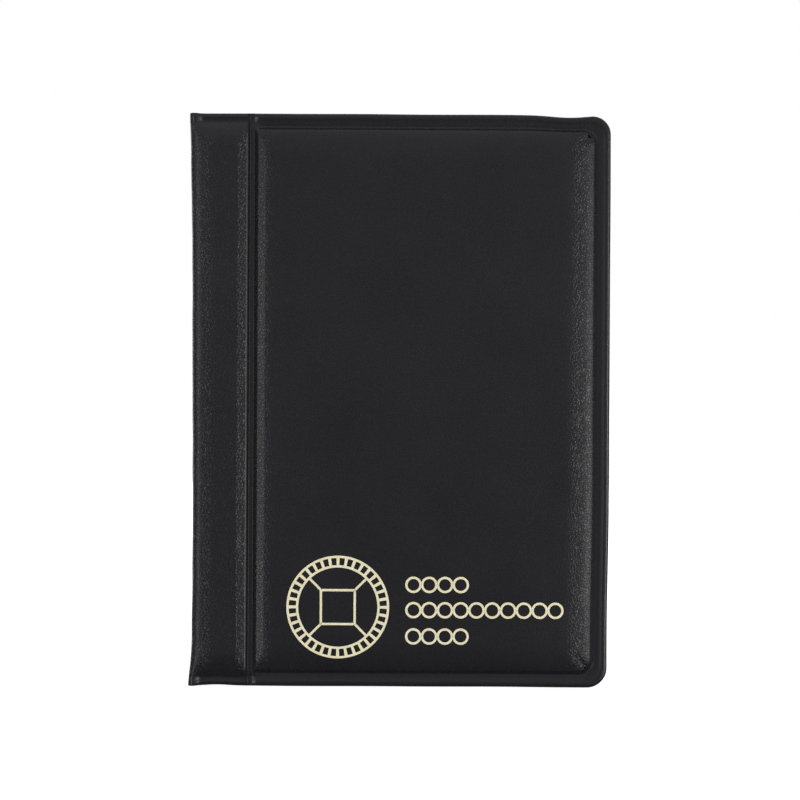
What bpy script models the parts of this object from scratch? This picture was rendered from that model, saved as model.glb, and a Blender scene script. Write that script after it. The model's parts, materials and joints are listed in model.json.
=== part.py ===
"""Coin album: a welded PVC cover round ten riveted pages of twelve coin pockets.

Frame, in metres: the closed album stands on its tail edge. +Z is up, the front cover faces -Y, and the
spine is at -X. The origin is the middle of the base. A depth is measured from the nearer outer face
inwards, towards the middle of the album.
"""

import math

import bmesh
import bpy
from mathutils import Matrix, Vector

# Driving dimensions
WIDTH = 0.128
HEIGHT = 0.175
PAGES = 10
ROWS = 4
COLUMNS = 3
PAGE_PITCH = 0.001
COVER = 0.003
GAP = 0.0003
SKIN = 0.0003
FILM = 0.0002
STRIP = 0.0172
GROOVE = 0.0037

# Places that follow from them
THICKNESS = 2 * COVER + PAGES * PAGE_PITCH + GAP
SPINE_X = -WIDTH / 2
FORE_X = WIDTH / 2
STRIP_X = SPINE_X + STRIP
PANEL_X = STRIP_X + GROOVE
HINGE_X = (STRIP_X + PANEL_X) / 2
MIDDLE_Z = HEIGHT / 2

# Cover: a pillowed skin with a welded rim, over foam and board, on a flat liner. Each pair of insets is
# the distance in from the three free edges, then the distance in from the groove.
CORNER = 0.0060
RIM = (0.0042, 0.0004)
SHOULDER = (0.0052, 0.0010)
CROWN = (0.0090, 0.0026)
LEVEL = (0.0140, 0.0060)
RIM_DEPTH = 0.0019
RIM_THICKNESS = 0.0005
SHOULDER_DEPTH = 0.0009
CROWN_DEPTH = 0.0002
SHELL = 0.0004
FOAM = 0.0006
BOARD = 0.0009
FOAM_DEPTH = SKIN + GAP
BOARD_DEPTH = FOAM_DEPTH + FOAM + GAP
LINER_DEPTH = COVER - SKIN
FOAM_INSET = (0.0102, 0.0032)
BOARD_INSET = (0.0056, 0.0018)
WEB_DEPTH = 0.0022
WEB_THICKNESS = 0.0005

# The covers turn about lines just outside their outer faces, so that they fold flat on the strips
HINGE_LIFT = 0.00035

# Spine strip
SPINE_RADIUS = 0.003
STRIP_BOARD_DEPTH = SKIN + GAP
STRIP_BOARD_X0 = SPINE_X + 0.0048
STRIP_BOARD_X1 = STRIP_X - 0.0024
STRIP_BOARD_INSET = 0.009
SPINE_BOARD_X = SPINE_X + 0.0012
SPINE_LINER_X = SPINE_BOARD_X + BOARD + GAP

# Pages
STUB_THICKNESS = 0.0007
STUB_X0 = SPINE_LINER_X + SKIN + GAP
STUB_X1 = STRIP_X - 0.0005
CREASE_X = -0.0400
CREASE_STEP = 0.0008
STEPPED_PAGES = 3
CREASE_GAP = 0.0003
PAGE_X1 = 0.0615
PAGE_MARGIN_Z = 0.0035
POCKETS_START = 0.0035
POCKETS_X1 = 0.0610
POCKETS_MARGIN_Z = 0.0045
MOUTH_WIDTH = 0.024
MOUTH_HEIGHT = 0.001
MOUTH_DROP = 0.006
NOTCH_RADIUS = 0.006

# Rivets through the page stubs
RIVET_X = -0.0545
RIVET_Z = {"rivet_bottom": 0.020, "rivet_middle": MIDDLE_Z, "rivet_top": HEIGHT - 0.020}
RIVET_RADIUS = 0.0012
RIVET_HEAD_RADIUS = 0.0034
RIVET_HEAD = 0.0006
RIVET_HOLE_RADIUS = RIVET_RADIUS + GAP

# Gold foil on the front cover
FOIL = 0.0001
FOIL_GAP = 0.0002
EMBLEM_X = -0.0186
EMBLEM_Z = 0.0242
EMBLEM_RADIUS = 0.01565
STROKE = 0.0007
REEDS = 36
REED_BAND = 0.0022
SQUARE_HALF = 0.0048
FOIL_ROW_X = 0.0019
FOIL_ROWS = {"foil_row_1": (0.0310, 4), "foil_row_2": (0.0234, 10), "foil_row_3": (0.0153, 4)}
RING_RADIUS = 0.0025
RING_PITCH = 0.0048


def clear_scene():
    for found in list(bpy.data.objects):
        bpy.data.objects.remove(found)


def material(name, colour, roughness, metallic=0.0, alpha=1.0):
    made = bpy.data.materials.get(name)
    if made:
        return made
    made = bpy.data.materials.new(name)
    made.use_nodes = True
    shader = made.node_tree.nodes["Principled BSDF"]
    shader.inputs["Base Color"].default_value = (*colour, 1.0)
    shader.inputs["Roughness"].default_value = roughness
    shader.inputs["Metallic"].default_value = metallic
    shader.inputs["Alpha"].default_value = alpha
    return made


def leatherette():
    return material("black_leatherette", (0.020, 0.020, 0.022), 0.42)


def lining():
    return material("black_lining", (0.018, 0.018, 0.019), 0.5)


def greyboard():
    return material("greyboard", (0.36, 0.33, 0.29), 0.9)


def foam():
    return material("white_foam", (0.80, 0.80, 0.78), 0.95)


def clear_film():
    return material("clear_film", (0.86, 0.89, 0.90), 0.15, alpha=0.35)


def steel():
    return material("nickelled_steel", (0.62, 0.62, 0.60), 0.3, 1.0)


def gold_foil():
    return material("gold_foil", (0.80, 0.72, 0.45), 0.3, 1.0)


def mesh_object(name, bm, surface, smooth=None):
    """Turns a bmesh into a named object. smooth is the angle above which an edge stays sharp."""
    bmesh.ops.recalc_face_normals(bm, faces=bm.faces)
    mesh = bpy.data.meshes.new(name)
    bm.to_mesh(mesh)
    bm.free()
    if smooth:
        mesh.shade_smooth()
        mesh.set_sharp_from_angle(angle=smooth)
    mesh.materials.append(surface)
    made = bpy.data.objects.new(name, mesh)
    bpy.context.scene.collection.objects.link(made)
    return made


def plate(name, outline, holes, thickness, y_middle, surface):
    """A flat sheet in the XZ plane: a filled outline of (x, z) points with holes, extruded along Y."""
    curve = bpy.data.curves.new(name, "CURVE")
    curve.dimensions = "2D"
    curve.fill_mode = "BOTH"
    curve.extrude = thickness / 2
    for loop in [outline, *holes]:
        spline = curve.splines.new("POLY")
        spline.points.add(len(loop) - 1)
        for point, (x, z) in zip(spline.points, loop):
            point.co = (x, z, 0.0, 1.0)
        spline.use_cyclic_u = True
    curve.materials.append(surface)
    made = bpy.data.objects.new(name, curve)
    made.rotation_euler = (math.pi / 2, 0.0, 0.0)
    made.location = (0.0, y_middle, 0.0)
    bpy.context.scene.collection.objects.link(made)
    return made


def prism(name, profile, z0, z1, surface, smooth=None):
    """A profile of (x, y) points extruded from z0 up to z1."""
    bm = bmesh.new()
    base = bm.faces.new([bm.verts.new((x, y, z0)) for x, y in profile])
    grown = bmesh.ops.extrude_face_region(bm, geom=[base])
    top = [v for v in grown["geom"] if isinstance(v, bmesh.types.BMVert)]
    bmesh.ops.translate(bm, verts=top, vec=(0.0, 0.0, z1 - z0))
    return mesh_object(name, bm, surface, smooth)


def arc(centre, radius, start, end, steps):
    """Points on an arc, angles in degrees."""
    angles = [math.radians(start + (end - start) * i / steps) for i in range(steps + 1)]
    return [(centre[0] + radius * math.cos(a), centre[1] + radius * math.sin(a)) for a in angles]


def circle(centre, radius, steps):
    return arc(centre, radius, 0, 360, steps)[:-1]


def rectangle(x0, x1, z0, z1, radius=0.0, steps=5, rounded=(False, True, True, False)):
    """A rectangle's outline from its lower left corner round. rounded says which corners have the radius."""
    corners = [(x0, z0, 180), (x1, z0, 270), (x1, z1, 0), (x0, z1, 90)]
    points = []
    for (x, z, start), is_round in zip(corners, rounded):
        if radius <= 0 or not is_round:
            points.append((x, z))
            continue
        centre = (x + (radius if x == x0 else -radius), z + (radius if z == z0 else -radius))
        points += arc(centre, radius, start, start + 90, steps)
    return points


def ribbon(path, thickness):
    """The closed outline of a strip of sheet whose middle follows a path of (x, y) points."""
    points = [Vector(p) for p in path]
    left, right = [], []
    for i, point in enumerate(points):
        before = points[max(i - 1, 0)]
        after = points[min(i + 1, len(points) - 1)]
        along = (after - before).normalized()
        side = Vector((-along.y, along.x)) * thickness / 2
        left.append(tuple(point + side))
        right.append(tuple(point - side))
    return left + right[::-1]


def y_at(depth, side):
    """The y of a depth below the front face (side -1) or the back face (side +1)."""
    return side * (THICKNESS / 2 - depth)


def panel(insets):
    """The cover panel's outline drawn in by a pair of insets, with its two fore-edge corners rounded."""
    free, groove = insets
    radius = CORNER - free * 0.35
    return rectangle(PANEL_X + groove, FORE_X - free, free, HEIGHT - free, radius)


def thicker(insets):
    """A pair of insets moved in by the thickness of the skin's walls."""
    return (insets[0] + SHELL, insets[1] + SHELL)


def cover_skin(name, side):
    """The outer leatherette of one cover: a thin rim, a shoulder and a crowned panel, hollow behind."""
    outer = [
        ((0.0, 0.0), RIM_DEPTH + RIM_THICKNESS),
        ((0.0, 0.0), RIM_DEPTH),
        (RIM, RIM_DEPTH),
        (SHOULDER, SHOULDER_DEPTH),
        (CROWN, CROWN_DEPTH),
        (LEVEL, 0.0),
    ]
    inner = [
        (thicker(LEVEL), SKIN),
        (thicker(CROWN), CROWN_DEPTH + SKIN),
        (thicker(SHOULDER), SHOULDER_DEPTH + SKIN),
        (thicker(RIM), RIM_DEPTH + RIM_THICKNESS),
    ]
    bm = bmesh.new()
    loops = []
    for insets, depth in outer + inner:
        y = y_at(depth, side)
        loops.append([bm.verts.new((x, y, z)) for x, z in panel(insets)])
    caps = (len(outer) - 1, len(outer))
    for cap in caps:
        bm.faces.new(loops[cap])
    for i in range(len(loops)):
        j = (i + 1) % len(loops)
        if (i, j) == caps:
            continue
        for k in range(len(loops[i])):
            n = (k + 1) % len(loops[i])
            bm.faces.new([loops[i][k], loops[i][n], loops[j][n], loops[j][k]])
    return mesh_object(name, bm, leatherette(), math.radians(40))


def sheet_at(name, outline, depth, thickness, side, surface):
    return plate(name, outline, [], thickness, y_at(depth + thickness / 2, side), surface)


def cover(word, side):
    """The four layers of one cover, from the outside in."""
    return [
        cover_skin(f"{word}_cover_skin", side),
        sheet_at(f"{word}_cover_foam", panel(FOAM_INSET), FOAM_DEPTH, FOAM, side, foam()),
        sheet_at(f"{word}_cover_board", panel(BOARD_INSET), BOARD_DEPTH, BOARD, side, greyboard()),
        sheet_at(f"{word}_cover_liner", panel((0.0, 0.0)), LINER_DEPTH, SKIN, side, lining()),
    ]


def hinge_web(word, side):
    """The pressed groove between strip and panel, where skin and liner are welded into one film."""
    outline = rectangle(STRIP_X + GAP, PANEL_X - GAP, 0.0, HEIGHT)
    return sheet_at(f"{word}_hinge_web", outline, WEB_DEPTH, WEB_THICKNESS, side, leatherette())


def spine_skin():
    """The leatherette round both strips and the spine, turned in at each groove."""
    middle = SKIN / 2
    half = THICKNESS / 2
    centre_y = half - SPINE_RADIUS
    centre_x = SPINE_X + SPINE_RADIUS
    bend = SPINE_RADIUS - middle
    tail = [(STRIP_X - middle, WEB_DEPTH - GAP), (STRIP_X - 0.0004, 0.0008), (STRIP_X - 0.0015, middle)]
    front = [(x, -half + depth) for x, depth in tail]
    back = [(x, half - depth) for x, depth in reversed(tail)]
    path = front + arc((centre_x, -centre_y), bend, 270, 180, 6)
    path += arc((centre_x, centre_y), bend, 180, 90, 6) + back
    return prism("spine_skin", ribbon(path, SKIN), 0.0, HEIGHT, leatherette(), math.radians(40))


def spine_liner():
    """The inner sheet that the page stubs are riveted to: a square channel."""
    y = y_at(COVER - SKIN / 2, -1)
    x0 = SPINE_LINER_X + SKIN / 2
    outline = [
        (STUB_X1, y - SKIN / 2),
        (x0 - SKIN / 2, y - SKIN / 2),
        (x0 - SKIN / 2, -y + SKIN / 2),
        (STUB_X1, -y + SKIN / 2),
        (STUB_X1, -y - SKIN / 2),
        (x0 + SKIN / 2, -y - SKIN / 2),
        (x0 + SKIN / 2, y + SKIN / 2),
        (STUB_X1, y + SKIN / 2),
    ]
    return prism("spine_liner", outline, 0.0, HEIGHT, lining())


def stiffeners():
    """Boards inside the two strips and the spine."""
    z0, z1 = STRIP_BOARD_INSET, HEIGHT - STRIP_BOARD_INSET
    outline = rectangle(STRIP_BOARD_X0, STRIP_BOARD_X1, z0, z1)
    made = [
        sheet_at(f"{word}_strip_board", outline, STRIP_BOARD_DEPTH, BOARD, side, greyboard())
        for word, side in (("front", -1), ("back", 1))
    ]
    half = THICKNESS / 2 - SPINE_RADIUS
    x0, x1 = SPINE_BOARD_X, SPINE_BOARD_X + BOARD
    spine = [(x0, -half), (x1, -half), (x1, half), (x0, half)]
    made.append(prism("spine_board", spine, z0, z1, greyboard()))
    return made


def rivet(name, z):
    """A rivet along Y: a shank with a flat head at each end, turned about its axis."""
    end = y_at(COVER - SKIN - GAP - RIVET_HEAD, 1)
    seat = end - RIVET_HEAD
    profile = [
        (0.0, end),
        (RIVET_HEAD_RADIUS, end),
        (RIVET_HEAD_RADIUS, seat),
        (RIVET_RADIUS, seat),
        (RIVET_RADIUS, -seat),
        (RIVET_HEAD_RADIUS, -seat),
        (RIVET_HEAD_RADIUS, -end),
        (0.0, -end),
    ]
    bm = bmesh.new()
    points = [bm.verts.new((r, y, 0.0)) for r, y in profile]
    edges = [bm.edges.new(pair) for pair in zip(points, points[1:])]
    bmesh.ops.spin(
        bm, geom=points + edges, cent=(0, 0, 0), axis=(0, 1, 0), angle=math.tau, steps=16, use_merge=True
    )
    bmesh.ops.remove_doubles(bm, verts=bm.verts, dist=1e-6)
    made = mesh_object(name, bm, steel(), math.radians(40))
    made.location = (RIVET_X, 0.0, z)
    return made


def rivet_hole_cutter():
    """Three rods along Y that bore the stubs and the liner for the rivets."""
    across = Matrix.Rotation(math.pi / 2, 3, "X")
    bm = bmesh.new()
    for z in RIVET_Z.values():
        rod = bmesh.ops.create_cone(
            bm,
            cap_ends=True,
            segments=12,
            radius1=RIVET_HOLE_RADIUS,
            radius2=RIVET_HOLE_RADIUS,
            depth=2 * THICKNESS,
        )
        bmesh.ops.rotate(bm, verts=rod["verts"], cent=(0, 0, 0), matrix=across)
        bmesh.ops.translate(bm, verts=rod["verts"], vec=(RIVET_X, 0.0, z))
    made = mesh_object("rivet_hole_cutter", bm, steel())
    made.hide_render = True
    made.display_type = "WIRE"
    return made


def bore(target, cutter):
    cut = target.modifiers.new("rivet_holes", "BOOLEAN")
    cut.operation = "DIFFERENCE"
    cut.object = cutter
    return target


def crease_x(page):
    """Where a leaf bends. The first leaves step back, to clear the stub in front past a right angle."""
    return CREASE_X + CREASE_STEP * min(page, STEPPED_PAGES)


def page_depth(page):
    """The depth of a page's front face below the album's front face."""
    return COVER + GAP + page * PAGE_PITCH


def film_y(page):
    """The y of the middle of a page's back film, which is also its crease."""
    return y_at(page_depth(page) + STUB_THICKNESS - FILM / 2, -1)


def page_stub(page):
    """The bound margin: the page film with a stiff strip welded on, and the bare film up to the crease."""
    back = film_y(page) + FILM / 2
    front = back - STUB_THICKNESS
    x1 = crease_x(page) - CREASE_GAP / 2
    z0, z1 = PAGE_MARGIN_Z, HEIGHT - PAGE_MARGIN_Z
    profile = [
        (STUB_X0, back),
        (STUB_X0, front),
        (STUB_X1, front),
        (STUB_X1, back - FILM),
        (x1, back - FILM),
        (x1, back),
    ]
    return prism(f"page_{page + 1:02d}_stub", profile, z0, z1, clear_film())


def page_film(page):
    """The whole back sheet of a leaf."""
    z0, z1 = PAGE_MARGIN_Z, HEIGHT - PAGE_MARGIN_Z
    outline = rectangle(crease_x(page) + CREASE_GAP, PAGE_X1, z0, z1, 0.003, 4)
    return plate(f"page_{page + 1:02d}_film", outline, [], FILM, film_y(page), clear_film())


def pocket_mouth(x0, column, row):
    """A pocket's opening: a slit near its top edge with a half-round thumb notch below."""
    pocket_width = (POCKETS_X1 - x0) / COLUMNS
    pocket_height = (HEIGHT - 2 * POCKETS_MARGIN_Z) / ROWS
    x = x0 + pocket_width * (column + 0.5)
    z = POCKETS_MARGIN_Z + pocket_height * (row + 1) - MOUTH_DROP
    half = MOUTH_WIDTH / 2
    slit = [(x + half, z), (x + half, z + MOUTH_HEIGHT), (x - half, z + MOUTH_HEIGHT), (x - half, z)]
    return slit + arc((x, z), NOTCH_RADIUS, 180, 360, 6)


def page_pockets(page):
    """The front sheet of a leaf, with the mouths of its twelve pockets."""
    x0 = crease_x(page) + POCKETS_START
    outline = rectangle(x0, POCKETS_X1, POCKETS_MARGIN_Z, HEIGHT - POCKETS_MARGIN_Z)
    mouths = [pocket_mouth(x0, column, row) for row in range(ROWS) for column in range(COLUMNS)]
    y = y_at(page_depth(page) + FILM / 2, -1)
    return plate(f"page_{page + 1:02d}_pockets", outline, mouths, FILM, y, clear_film())


def foil_y():
    return y_at(-FOIL_GAP - FOIL / 2, -1)


def foil_emblem():
    """A plain cash coin: a reeded rim round a square hole that four spokes hold."""
    centre = (EMBLEM_X, EMBLEM_Z)
    band_outer = EMBLEM_RADIUS - STROKE
    band_inner = band_outer - REED_BAND
    field = band_inner - STROKE
    step = 360 / REEDS
    solid = step * 0.36
    holes = []
    for i in range(REEDS):
        start, end = i * step + solid / 2, (i + 1) * step - solid / 2
        holes.append(arc(centre, band_outer, start, end, 1) + arc(centre, band_inner, end, start, 1))
    frame = SQUARE_HALF + STROKE
    slack = math.degrees(STROKE / 2 / field)
    for quarter in range(4):
        middle = quarter * 90
        rim = arc(centre, field, middle - 45 + slack, middle + 45 - slack, 10)
        turn = math.radians(middle)
        reach = frame - STROKE * 0.71
        for across in (reach, -reach):
            x = frame * math.cos(turn) - across * math.sin(turn)
            z = frame * math.sin(turn) + across * math.cos(turn)
            rim.append((centre[0] + x, centre[1] + z))
        holes.append(rim)
    half = SQUARE_HALF
    x, z = centre
    holes.append([(x - half, z - half), (x + half, z - half), (x + half, z + half), (x - half, z + half)])
    return plate("foil_emblem", circle(centre, EMBLEM_RADIUS, 72), holes, FOIL, foil_y(), gold_foil())


def foil_row(name, z, rings):
    """A row of small linked rings: the outline that they share, with a round hole in each."""
    lean = math.degrees(math.acos(RING_PITCH / 2 / RING_RADIUS))
    centres = [(FOIL_ROW_X + RING_RADIUS + RING_PITCH * i, z) for i in range(rings)]
    upper, lower = [], []
    for i, centre in enumerate(centres):
        left = 180 if i == 0 else 180 - lean
        right = 0 if i == rings - 1 else lean
        upper += arc(centre, RING_RADIUS, left, right, 6)[: None if right == 0 else -1]
        lower = arc(centre, RING_RADIUS, -right, -left, 6)[1 if right == 0 else 0 : -1] + lower
    holes = [circle(centre, RING_RADIUS - STROKE, 12) for centre in centres]
    return plate(name, upper + lower, holes, FOIL, foil_y(), gold_foil())


def pivot(name, x, y, pieces):
    """An empty on a joint's vertical axis, which carries the pieces that turn about it."""
    made = bpy.data.objects.new(name, None)
    made.location = (x, y, MIDDLE_Z)
    bpy.context.scene.collection.objects.link(made)
    bpy.context.view_layer.update()
    for piece in pieces:
        piece.parent = made
        piece.matrix_parent_inverse = made.matrix_world.inverted()
    return made


def main():
    clear_scene()
    cutter = rivet_hole_cutter()
    spine_skin()
    bore(spine_liner(), cutter)
    stiffeners()
    for name, z in RIVET_Z.items():
        rivet(name, z)
    for word, side in (("front", -1), ("back", 1)):
        hinge_web(word, side)
        pieces = cover(word, side)
        if word == "front":
            pieces.append(foil_emblem())
            pieces += [foil_row(name, z, rings) for name, (z, rings) in FOIL_ROWS.items()]
        pivot(f"{word}_cover_pivot", HINGE_X, y_at(-HINGE_LIFT, side), pieces)
    for page in range(PAGES):
        bore(page_stub(page), cutter)
        leaf = [page_film(page), page_pockets(page)]
        pivot(f"page_{page + 1:02d}_pivot", crease_x(page), film_y(page), leaf)


main()
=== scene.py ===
"""The coin album's looks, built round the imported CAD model.

Lengths are in millimetres until a mesh is made, and in metres in the materials and the studio. Along the
album, x runs from the spine to the fore-edge and z from tail to head. A depth is measured from the nearer
outer face inwards. side is -1 for the front half of the album and +1 for the back half.
"""

import json
import math

import bmesh
import bpy
import numpy as np
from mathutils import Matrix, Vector


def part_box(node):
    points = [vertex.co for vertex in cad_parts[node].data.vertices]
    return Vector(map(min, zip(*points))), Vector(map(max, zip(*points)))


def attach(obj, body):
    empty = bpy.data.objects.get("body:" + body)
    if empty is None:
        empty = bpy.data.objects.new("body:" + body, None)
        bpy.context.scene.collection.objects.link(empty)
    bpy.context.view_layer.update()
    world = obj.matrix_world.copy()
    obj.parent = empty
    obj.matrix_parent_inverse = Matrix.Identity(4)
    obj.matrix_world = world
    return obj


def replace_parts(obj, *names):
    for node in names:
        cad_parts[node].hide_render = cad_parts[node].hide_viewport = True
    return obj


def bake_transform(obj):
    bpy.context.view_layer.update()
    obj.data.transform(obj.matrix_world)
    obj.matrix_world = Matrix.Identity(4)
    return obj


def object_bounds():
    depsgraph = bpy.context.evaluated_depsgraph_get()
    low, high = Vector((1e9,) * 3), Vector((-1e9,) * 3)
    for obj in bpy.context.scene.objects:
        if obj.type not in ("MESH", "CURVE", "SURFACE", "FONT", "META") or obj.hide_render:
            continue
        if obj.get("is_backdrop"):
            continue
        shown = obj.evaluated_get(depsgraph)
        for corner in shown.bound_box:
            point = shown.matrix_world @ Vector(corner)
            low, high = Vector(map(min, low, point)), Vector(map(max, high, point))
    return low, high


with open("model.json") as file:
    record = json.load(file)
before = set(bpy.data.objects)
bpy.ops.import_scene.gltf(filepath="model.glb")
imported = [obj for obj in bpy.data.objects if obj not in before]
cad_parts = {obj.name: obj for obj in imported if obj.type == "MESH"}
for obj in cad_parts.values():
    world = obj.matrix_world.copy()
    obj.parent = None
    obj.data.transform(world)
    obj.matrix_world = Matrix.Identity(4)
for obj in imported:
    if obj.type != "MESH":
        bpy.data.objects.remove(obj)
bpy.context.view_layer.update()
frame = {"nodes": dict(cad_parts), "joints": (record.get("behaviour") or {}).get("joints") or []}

MM = 0.001

# Places that the CAD model gives
SPINE_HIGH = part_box("spine_skin")[1]
PANEL_LOW, PANEL_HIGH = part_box("front_cover_skin")
LIP_X = SPINE_HIGH.x / MM
PANEL_X = PANEL_LOW.x / MM
FORE_X = PANEL_HIGH.x / MM
HALF = SPINE_HIGH.y / MM
HEIGHT = SPINE_HIGH.z / MM
PAGES = sum(1 for name in frame["nodes"] if name.endswith("_pockets"))

# Cover shape. RIM_BEAD to CROWN are distances in from a free edge.
CORNER = 6.0
RIM_BEAD = 2.3
FLANGE = 4.3
CROWN_FOOT = 4.75
WALL_TOP = 5.1
CROWN = 15.0
CROWN_DEPTH = 1.75
LEVEL_X = -36.0
SKIN = 0.3
STRIP_END_X = -47.2
LINING_THICKNESS = 0.25
SHEET_LIMIT = 2.62
SEEDS = {"front": 1.3, "back": 4.1}

# Padding and boards
PADDING_INSET = 7.5
PADDING_FROM_GROOVE = 3.4
PADDING_BASE = 1.35
BOARD_CORNER = 4.5
BOUND_CORNER = 1.0
BOARD_BEVEL = 0.12


def smooth_step(value, low, high):
    t = np.clip((value - low) / (high - low), 0.0, 1.0)
    return t * t * (3 - 2 * t)


def bump(value, middle, width):
    return np.exp(-(((value - middle) / width) ** 2))


def profile(keys, blur):
    """A function through (place, value) pairs, rounded off over about blur mm."""
    step = 0.02
    at = np.arange(keys[0][0], keys[-1][0] + step, step)
    raw = np.interp(at, *zip(*keys))
    reach = int(4 * blur / step)
    weights = np.exp(-0.5 * (np.arange(-reach, reach + 1) * step / blur) ** 2)
    soft = np.convolve(np.pad(raw, reach, mode="edge"), weights / weights.sum(), "valid")
    return lambda value: np.interp(value, at, soft)


def wobble(u, v, period, seed):
    """Smooth unevenness between -1 and 1, the same on each run."""
    total = 0.0
    for k in range(5):
        turn = seed * 2.4 + k * 1.9
        wave = 2 * math.pi / (period * (0.6 + 0.22 * k))
        total = total + np.sin((u * math.cos(turn) + v * math.sin(turn)) * wave + 3.1 * k + seed)
    return total / 5


def graded(length, steps):
    """Distances from 0 to length. steps gives (distance, step there) pairs."""
    at = [0.0]
    while at[-1] < length:
        at.append(at[-1] + float(np.interp(at[-1], *zip(*steps))))
    return np.array(at) * (length / at[-1])


def crown_keys():
    """Depth against distance from a free edge: rolled edge, rim bead, flange, then the padded crown."""
    rim = [(0.0, 2.55), (0.15, 2.2), (0.5, 1.97), (0.9, 1.9), (1.5, 1.88), (2.0, 2.05), (2.5, 2.22)]
    wall = [(3.9, 2.38), (4.1, 2.35), (4.4, 2.13), (4.75, 1.76)]
    keys = rim + wall
    for m in np.linspace(WALL_TOP, CROWN, 60):
        t = (CROWN - m) / (CROWN - CROWN_FOOT)
        keys.append((m, CROWN_DEPTH * (1 - math.sqrt(1 - t**2))))
    return [*keys, (CROWN + 5, 0.0)]


free_edge = profile(crown_keys(), 0.07)
# Depth of the strip against distance from its head or tail: rolled edge, bead, then a gentle rise
STRIP_END = [(0, 2.5), (0.25, 2.1), (1.0, 1.82), (1.7, 2.1), (2.8, 2.15), (3.6, 1.6), (5, 0.95)]
STRIP_END += [(7, 0.42), (10, 0.06), (13, 0)]
strip_end = profile(STRIP_END, 0.25)
# How far the spine stands in from its CAD place, against height: it flares out at head and tail
SPINE_SWAY = [(0, -0.95), (3, -0.72), (8, -0.15), (14, 0.15), (26, 0.3), (63, 0.2), (112, -0.1)]
SPINE_SWAY += [(137, -0.35), (149, -0.5), (165, -0.85), (175, -1.15)]
spine_sway = profile(SPINE_SWAY, 1.5)


def fillet(points, arc_steps=6, longest=1.6):
    """Points along a polyline of (x, depth, radius) corners, rounded off, with straight runs split."""
    path = [Vector(points[0][:2])]
    for before, corner, after in zip(points, points[1:], points[2:]):
        here = Vector(corner[:2])
        back = (Vector(before[:2]) - here).normalized()
        on = (Vector(after[:2]) - here).normalized()
        angle = back.angle(on)
        reach = corner[2] / math.tan(angle / 2)
        for i in range(arc_steps + 1):
            t = i / arc_steps
            path.append(here + back * reach * (1 - t) ** 2 + on * reach * t**2)
    path.append(Vector(points[-1][:2]))
    full = [path[0]]
    for point in path[1:]:
        gap = (point - full[-1]).length
        if gap < 0.02:
            continue
        parts = max(1, math.ceil(gap / longest))
        start = full[-1]
        full += [start.lerp(point, (k + 1) / parts) for k in range(parts)]
    return np.array([tuple(p) for p in full])


# The leatherette's outer surface in section, from the middle of the spine to the level part of the panel
SKIN_PATH = [
    (-63.6, 8.15, 0),
    (-63.6, 0.22, 3.6),
    (-49.9, 0.1, 4.0),
    (-47.1, 0.72, 1.3),
    (-46.5, 1.02, 0.26),
    (-46.1, 1.98, 0.28),
    (-44.75, 2.05, 0.3),
    (-43.5, 0.85, 0.6),
    (-41.2, 0.14, 2.2),
    (LEVEL_X, 0.0, 0),
]
# The lining's outer surface in section
LINING_PATH = [
    (-61.75, 8.15, 0),
    (-61.75, 2.7, 1.4),
    (-47.4, 2.7, 0.8),
    (-46.4, 2.37, 0.6),
    (-44.9, 2.37, 0.6),
    (-43.6, 2.7, 0.8),
    (LEVEL_X, 2.7, 0),
]


def columns(path, fine):
    """The sheet's columns: base x and depth, outward normal and arc length from the spine's middle."""
    from_edge = graded(FORE_X - LEVEL_X, fine)
    panel_x = (FORE_X - from_edge)[::-1][1:]
    base = fillet(path)
    level = base[-1][1]
    points = np.vstack([base, np.column_stack([panel_x, np.full(len(panel_x), level)])])
    along = np.gradient(points, axis=0)
    along /= np.linalg.norm(along, axis=1)[:, None]
    outward = np.column_stack([along[:, 1], -along[:, 0]])
    length = np.concatenate([[0.0], np.cumsum(np.linalg.norm(np.diff(points, axis=0), axis=1))])
    return points, outward, length


def rows(fine):
    half = graded(HEIGHT / 2, fine)
    return np.concatenate([half, HEIGHT - half[-2::-1]])


def round_corners(x, z):
    """Moves the points near the two fore-edge corners so that the outline is rounded there."""
    a, b = FORE_X - x, np.minimum(z, HEIGHT - z)
    m = np.minimum(a, b)
    radius = np.clip(CORNER - 0.35 * m, 0.8, CORNER)
    t = np.abs(a - b)
    near = (t < radius) & (a < 22) & (b < 22)
    angle = (math.pi / 4) * (1 - t / radius)
    centre = m + radius
    along, across = centre - radius * np.cos(angle), centre - radius * np.sin(angle)
    new_a = np.where(a <= b, along, across)
    new_b = np.where(a <= b, across, along)
    a, b = np.where(near, new_a, a), np.where(near, new_b, b)
    return FORE_X - a, np.where(z < HEIGHT / 2, b, HEIGHT - b)


def settle(x, z):
    """The small unevenness of the outline: the fore-edge draws in low down, and the head droops."""
    fore = smooth_step(x, 30, 62)
    dx = -0.5 * fore * (1 - smooth_step(z, 12, 52))
    dx = dx + 0.12 * fore * wobble(z, x * 0.2, 60, 1.0)
    head, tail = smooth_step(z, 165, 175), 1 - smooth_step(z, 0, 10)
    dz = -head * (0.8 * bump(x, 51.6, 8.0) + 0.12 + 0.12 * wobble(x, z * 0.1, 38, 2.0))
    dz = dz + tail * (0.3 * bump(x, -55.5, 4.5) + 0.1 + 0.1 * wobble(x, z * 0.1, 46, 3.0))
    return x + dx, z + dz


def norm(*values):
    """A smooth maximum of positive depths."""
    return sum(v**5 for v in values) ** 0.2


def quads(grid):
    """The four-sided faces of a grid of point numbers."""
    return np.stack([grid[:-1, :-1], grid[:-1, 1:], grid[1:, 1:], grid[1:, :-1]], axis=-1).reshape(-1, 4)


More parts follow.
